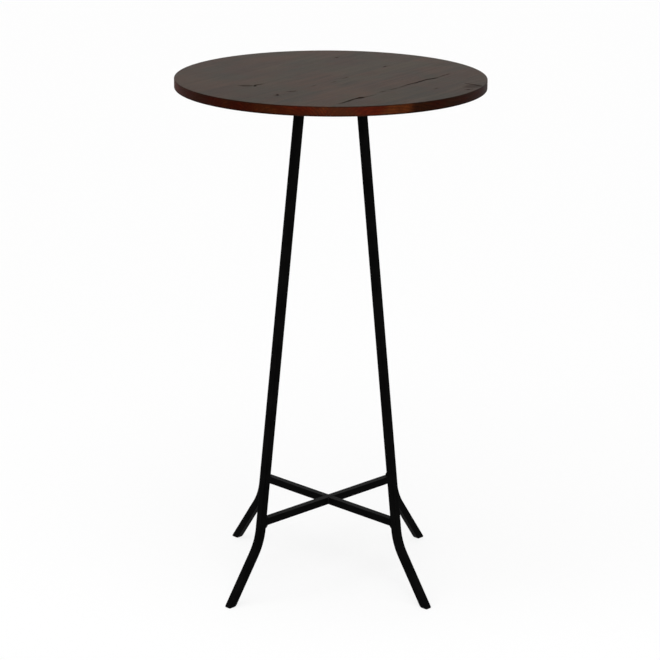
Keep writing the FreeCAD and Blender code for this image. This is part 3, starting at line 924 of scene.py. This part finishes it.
def new_group(name, inputs):
    """An empty shader group with its named inputs: numbers, vectors of three or colours of four."""
    group = bpy.data.node_groups.new(name, "ShaderNodeTree")
    for socket, value in inputs.items():
        kind = "Float" if isinstance(value, float) else {3: "Vector", 4: "Color"}[len(value)]
        made = group.interface.new_socket(socket, in_out="INPUT", socket_type="NodeSocket" + kind)
        made.default_value = value
    for socket, kind in EFFECT_OUTPUTS.items():
        group.interface.new_socket(socket, in_out="OUTPUT", socket_type="NodeSocket" + kind)
    start, end = group.nodes.new("NodeGroupInput"), group.nodes.new("NodeGroupOutput")
    return group, Graph(group), start.outputs, end.inputs


def knots(g, turned, rings):
    """Pushes the growth rings aside round each knot; returns them and how dark the knots are."""
    dark_all = 0.0
    for along, across, reach_along, reach_across, dark in KNOTS:
        offset = g.vector("SUBTRACT", turned, (along / METRE, across / METRE, TABLE_HEIGHT / METRE))
        size = (METRE / reach_along, METRE / reach_across, METRE / reach_across / 3)
        near = g.vector("LENGTH", g.vector("MULTIPLY", offset, size))
        dark_all = g.calc("MAXIMUM", dark_all, g.times(g.ease(near, 0.5, 1.25, 1.0, 0.0), dark))
        rings = g.plus(rings, g.times(g.ease(near, 0.4, 3.6, 1.0, 0.0), 0.009 * dark))
    return rings, dark_all


def grain_group():
    """Stained flat-sawn board: growth rings about a pith, fibres, pores, knots and filled checks."""
    group, g, start, end = new_group("stained_board_grain", {
        "Board Shift": (0.0, 0.0, 0.0), "Pith Across": 0.0, "Pith Depth": 0.1, "Ring Width": 0.005,
        "Heart And Shade Across": -1.0, "Tone": 1.0, "Edge Tone And Highlight": 1.0, **STAIN})
    place = g.node("TexCoord").outputs["Object"]
    turned = g.node("VectorRotate", {"Vector": place, "Angle": -GRAIN_ANGLE},
                    rotation_type="Z_AXIS").outputs[0]
    shifted = g.vector("ADD", turned, start["Board Shift"])
    axes = g.split(turned)

    def stretched(along, across):
        return g.vector("MULTIPLY", shifted, (along, across, across))

    # Rings round the pith, which wanders along the board and gives way round the knots
    bent = g.plus(g.swing(g.noise(stretched(1.3, 5.0), 1.0), 0.06),
                  g.swing(g.noise(stretched(3.5, 22.0), 1.0), 0.010))
    sideways = g.plus(g.minus(axes["Y"], start["Pith Across"]), bent)
    upright = g.plus(g.minus(axes["Z"], TABLE_HEIGHT / METRE), start["Pith Depth"])
    upright = g.plus(upright, g.times(bent, 0.6))
    away = g.calc("SQRT", g.plus(g.times(sideways, sideways), g.times(upright, upright)))
    away, knot_dark = knots(g, turned, away)
    rings = g.calc("DIVIDE", away, start["Ring Width"])
    rings = g.calc("FRACT", g.plus(rings, g.times(g.noise(stretched(5.0, 90.0), 1.0, 3.0), 0.9)))
    late = g.times(g.calc("POWER", rings, 2.6), g.ease(rings, 0.93, 1.0, 1.0, 0.0))

    # Fibres, long streaks, pores and the blotches that the stain leaves
    fibre = g.noise(stretched(9.0, 520.0), 1.0, 3.0, 0.6)
    streak = g.noise(stretched(2.4, 75.0), 1.0, 3.0, 0.55)
    blotch = g.noise(shifted, 7.0, 3.0, 0.55)
    pore = g.ease(g.noise(stretched(70.0, 1500.0), 1.0, 1.0), 0.62, 0.74)
    light = 0.42
    for noise, reach in ((fibre, 0.9), (streak, 0.85), (blotch, 0.9)):
        light = g.plus(light, g.swing(noise, reach))
    light = g.minus(light, g.times(late, 0.38))
    light = g.minus(light, g.times(pore, 0.25), clamped=True)

    # Darker heartwood beyond a wandering line; on the rim this also paints the shade beyond the front light's
    # highlight
    beyond = g.minus(start["Heart And Shade Across"], g.plus(axes["Y"], g.times(bent, 0.35)))
    heart_and_shade = g.ease(beyond, -0.004, 0.010)

    # The turned rim takes the stain redder, and darker where it cuts across the fibres
    facing = g.node("NewGeometry").outputs["Normal"]
    flat = g.ease(g.calc("ABSOLUTE", g.split(facing)["Z"]), 0.35, 0.9)
    run = (cos(GRAIN_ANGLE), sin(GRAIN_ANGLE), 0.0)
    end_grain = g.calc("POWER", g.calc("ABSOLUTE", g.vector("DOT_PRODUCT", facing, run)), 2.0)
    edge_light = g.minus(light, g.times(end_grain, 0.35), clamped=True)
    edge = g.blend(edge_light, start["Edge Dark"], start["Edge Light"])
    # The rim's tone per board, raised on the front boards as a painted highlight and lowered beyond the heart
    # line as painted shade
    edge_tone_and_light = g.times(g.minus(1.0, g.times(heart_and_shade, 0.78)), start["Edge Tone And Highlight"])
    edge = g.tint(edge, g.grey(edge_tone_and_light))
    face = g.blend(light, start["Face Dark"], start["Face Light"])
    face = g.tint(face, g.grey(g.minus(1.0, g.times(heart_and_shade, 0.22))))

    # The stain drifts between redder and browner from place to place
    face_drift = g.ease(g.noise(shifted, 11.0), 0.35, 0.65)
    edge_drift = g.ease(g.noise(g.vector("ADD", shifted, EDGE_DRIFT_SHIFT), 17.0), 0.35, 0.65)
    face = g.tint(face, g.blend(face_drift, start["Redder"], start["Browner"]))
    edge = g.tint(edge, g.blend(edge_drift, start["Redder Edge"], start["Browner Edge"]))
    colour = g.blend(flat, edge, face)

    # Darker along the upper eased edge of the rim, and painted shade darkening towards its lower edge
    height = g.times(g.minus(axes["Z"], TOP_UNDERSIDE / METRE), METRE)
    upper_line = g.ease(height, TOP_THICKNESS - 2.6, TOP_THICKNESS - 1.0)
    lower_painted_shade = g.ease(height, 5.5, 0.4)
    line = g.times(g.calc("MAXIMUM", upper_line, lower_painted_shade), g.minus(1.0, flat))
    colour = g.blend(g.times(line, 0.62), colour, start["Filler"])

    check = g.node("Attribute", attribute_name="dark_check").outputs["Fac"]
    dark = g.calc("MAXIMUM", check, knot_dark)
    colour = g.blend(dark, colour, start["Filler"])
    g.feed(end["Color"], g.tint(colour, g.grey(start["Tone"])))
    g.feed(end["Roughness"], g.plus(g.plus(0.56, g.swing(fibre, 0.16)), g.times(dark, 0.3), clamped=True))
    g.feed(end["Height"], g.minus(g.plus(g.times(fibre, 0.5), g.times(late, 0.35)), g.times(pore, 0.9)))
    return group


def coat_group():
    """Powder coat: fine orange peel, uneven sheen, and pale rubs low on the legs."""
    group, g, start, end = new_group("powder_coat", {
        "Coat": COAT, "Rub": COAT, "Rub Height": 0.0, "Sheen": 0.5, "Grain Scale": 900.0})
    place = g.node("TexCoord").outputs["Object"]
    cloud = g.noise(place, 22.0, 3.0)
    drawn = g.vector("MULTIPLY", place, (150.0, 150.0, 34.0))
    rub = g.ease(g.noise(drawn, 1.0, 4.0, 0.62), 0.60, 0.74)
    rub = g.times(rub, g.ease(g.split(place)["Z"], start["Rub Height"], 0.0))
    colour = g.blend(g.ease(cloud, 0.3, 0.75, 0.0, 0.35), start["Coat"], start["Rub"])
    g.feed(end["Color"], g.blend(rub, colour, start["Rub"]))
    rough = g.plus(start["Sheen"], g.swing(cloud, 0.14))
    g.feed(end["Roughness"], g.plus(rough, g.times(rub, 0.12), clamped=True))
    g.feed(end["Height"], g.noise(place, start["Grain Scale"], 2.0, 0.55))
    return group


def zinc_group():
    """Bright zinc plating: fine crystals and a faint yellow drift."""
    group, g, start, end = new_group("zinc_plating", {"Zinc": WHITE, "Drift": WHITE})
    place = g.node("TexCoord").outputs["Object"]
    crystal = g.noise(place, 1400.0)
    drift = g.ease(g.noise(place, 160.0), 0.35, 0.7)
    g.feed(end["Color"], g.blend(drift, start["Zinc"], start["Drift"]))
    g.feed(end["Roughness"], g.plus(0.24, g.times(crystal, 0.22)))
    g.feed(end["Height"], crystal)
    return group


def new_material(name, group, values, bump, shader_values):
    """A material whose colour, roughness and bump come from one group; bump is (strength, distance)."""
    material = bpy.data.materials.new(name)
    g = empty_graph(material)
    effect = g.node("Group", node_tree=group)
    for socket, value in values.items():
        effect.inputs[socket].default_value = value
    strength, distance = bump
    relief = g.node("Bump", {
        "Height": effect.outputs["Height"], "Strength": strength, "Distance": distance})
    shader = g.node("BsdfPrincipled", {
        "Base Color": effect.outputs["Color"], "Roughness": effect.outputs["Roughness"],
        "Normal": relief.outputs["Normal"], **shader_values})
    g.node("OutputMaterial", {"Surface": shader.outputs[0]})
    return material


GRAIN_EFFECT = grain_group()
COAT_EFFECT = coat_group()
ZINC_EFFECT = zinc_group()


def wood_material(number):
    """The stain is the same on all boards; each has its own rings, its own tone, and a rim tone that on the
    front boards paints a highlight.
    """
    chance = random.Random(40 + number)
    left = max(across_of(number - 1), -TOP_RADIUS)
    right = min(across_of(number), TOP_RADIUS)
    pith = (left + right) / 2 + chance.uniform(-40, 40)
    values = {
        "Board Shift": (chance.uniform(-3, 3), chance.uniform(-3, 3), chance.uniform(-3, 3)),
        "Pith Across": pith / METRE,
        "Pith Depth": chance.uniform(0.035, 0.075),
        "Ring Width": chance.uniform(0.0045, 0.0065),
        "Tone": BOARD_TONES[number - 1],
        # the rim's tone, with a painted highlight on the front boards
        "Edge Tone And Highlight": EDGE_TONES_AND_HIGHLIGHT[number - 1],
        "Heart And Shade Across": (HEART_AND_SHADE_ACROSS if number == 1 else -2 * TOP_RADIUS) / METRE,
        **STAIN,
    }
    return new_material("stained_board_%d" % number, GRAIN_EFFECT, values, (0.22, 0.0004),
                        {"Specular IOR Level": WOOD_SPECULAR})


STEEL = new_material(
    "black_powder_coat", COAT_EFFECT,
    {"Coat": COAT, "Rub": rgb(0.008, 0.0078, 0.0075), "Rub Height": 0.16,
     "Sheen": 0.52, "Grain Scale": 900.0},
    (0.25, 0.0003), {"Specular IOR Level": COAT_SPECULAR})
WELD = new_material(
    "coated_weld", COAT_EFFECT,
    {"Coat": COAT, "Rub": rgb(0.005, 0.005, 0.005), "Rub Height": 0.0,
     "Sheen": 0.42, "Grain Scale": 1300.0},
    (0.30, 0.0003), {"Specular IOR Level": 0.04})
PLASTIC = new_material(
    "moulded_black_plastic", COAT_EFFECT,
    {"Coat": rgb(0.0022, 0.0022, 0.0023), "Rub": rgb(0.012, 0.0115, 0.011), "Rub Height": 0.006,
     "Sheen": 0.55, "Grain Scale": 2200.0},
    (0.20, 0.0002), {"Specular IOR Level": 0.05})
PLATING = new_material(
    "bright_zinc", ZINC_EFFECT,
    {"Zinc": rgb(0.56, 0.57, 0.58), "Drift": rgb(0.60, 0.57, 0.50)},
    (0.10, 0.0001), {"Metallic": 1.0})

# Pieces

for board_number in range(1, BOARDS + 1):
    board = Board(board_number).build(wood_material(board_number))
    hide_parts("top_board_%d" % board_number)
make_beads("rippled_stretcher_welds", "stretcher_weld_beads", stretcher_beads(), WELD)
make_beads("rippled_crossing_welds", "crossing_weld_beads", crossing_beads(), WELD)
make_beads("rippled_plate_welds", "plate_weld_beads", plate_beads(), WELD)
for leg_name, leg_angle in LEG_ANGLES.items():
    make_leg(leg_name, leg_angle, STEEL)
    make_glide(leg_name, leg_angle, PLASTIC)
make_screws(PLATING)

finishes = {
    "mounting_plate": STEEL, "plate_washers": PLATING, "stretcher_through": STEEL,
    "stretcher_back_left": STEEL, "stretcher_front_right": STEEL,
}
for node_name, finish in finishes.items():
    for node_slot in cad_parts[node_name].material_slots:
        node_slot.material = finish

# Floor, backdrop, light and camera, in metres

FLOOR_RINGS = (0.5, 2.0, 8.0, 40.0)
FLOOR_POINTS = 64
FLOOR_GREY = rgb(0.33, 0.33, 0.33)  # what lights the table from below
SEEN_WHITE = 0.80  # share of the floor that is seen plain white, so that shadows stay faint
SKY_STRENGTH = 0.10
SOFT_SUN = radians(70.0)
# The camera that took the photograph: its place, its yaw, pitch and roll in degrees, and its
# focal length in the photograph's pixels
CAMERA_PLACE = (-0.0168, -4.96695, 2.00195)
CAMERA_TURN = (0.20937, -16.26634, 0.33481)
FOCAL_PIXELS = 2419.68
PHOTO_WIDTH = 660.0
SENSOR_WIDTH = 36.0


def seen_directly(g):
    """One for what the camera, a reflection or a clear piece sees, nought for what only lights the object."""
    path = g.node("LightPath").outputs
    seen = g.calc("MAXIMUM", path["Is Camera Ray"], path["Is Glossy Ray"])
    return g.calc("MAXIMUM", seen, path["Is Transmission Ray"])


def floor_material():
    material = bpy.data.materials.new("pale_floor")
    g = empty_graph(material)
    seen = seen_directly(g)
    place = g.node("TexCoord").outputs["Object"]
    pale = g.grey(g.ease(g.noise(place, 60.0, 3.0), 0.2, 0.8, 0.985, 1.0))
    matt = g.node("BsdfDiffuse", {"Color": g.blend(seen, FLOOR_GREY, pale)})
    white = g.node("Emission", {"Color": WHITE, "Strength": 1.0})
    look = g.mix_shaders(g.times(seen, SEEN_WHITE), matt, white)
    g.node("OutputMaterial", {"Surface": look})
    return material


def make_floor():
    bm = bmesh.new()
    rings = [[bm.verts.new((x, y, 0.0)) for x, y in circle(radius, FLOOR_POINTS)] for radius in FLOOR_RINGS]
    skin_rows(bm, rings, closed=True)
    bm.faces.new(rings[0])
    floor = mesh_object(bm, "floor", floor_material())


def make_world():
    world = bpy.data.worlds.new("studio")
    scene.world = world
    g = empty_graph(world)
    soft = g.node("Background", {"Color": WHITE, "Strength": SKY_STRENGTH})
    white = g.node("Background", {"Color": WHITE, "Strength": 1.0})
    g.node("OutputWorld", {"Surface": g.mix_shaders(seen_directly(g), soft, white)})


def make_light(name, kind, place, aim, power, **settings):
    lamp = bpy.data.lights.new(name, kind)
    lamp.energy = power
    for key, value in settings.items():
        setattr(lamp, key, value)
    made = add_object(name, lamp)
    made.location = place
    made.rotation_euler = (Vector(aim) - Vector(place)).to_track_quat("-Z", "Y").to_euler()
    made.visible_camera = False


def make_camera():
    yaw, pitch, roll = (radians(angle) for angle in CAMERA_TURN)
    ahead = Vector((sin(yaw) * cos(pitch), cos(yaw) * cos(pitch), sin(pitch)))
    level = Vector((cos(yaw), -sin(yaw), 0.0))
    upward = level.cross(ahead)
    right = cos(roll) * level + sin(roll) * upward
    up = cos(roll) * upward - sin(roll) * level
    data = bpy.data.cameras.new("camera")
    data.sensor_width = SENSOR_WIDTH
    data.lens = SENSOR_WIDTH * FOCAL_PIXELS / PHOTO_WIDTH
    data.clip_start, data.clip_end = 0.05, 200.0
    camera = add_object("camera", data)
    turn = Matrix((right, up, -ahead)).transposed().to_4x4()
    camera.matrix_world = Matrix.Translation(CAMERA_PLACE) @ turn
    scene.camera = camera


make_floor()
make_world()
make_light("overhead_softbox", "SUN", (-0.5, -1.0, 3.0), aim=(0, 0, 0), power=2.45, angle=SOFT_SUN)
make_light("back_fill", "SUN", (0.6, 3.0, 2.0), aim=(0, 0, 0), power=0.6, angle=SOFT_SUN)
make_light("front_softbox", "AREA", (0.16, -1.05, 1.13), aim=(0.04, 0.0, 1.09), power=4.8, size=0.4)
make_camera()

scene.view_settings.view_transform = "Standard"
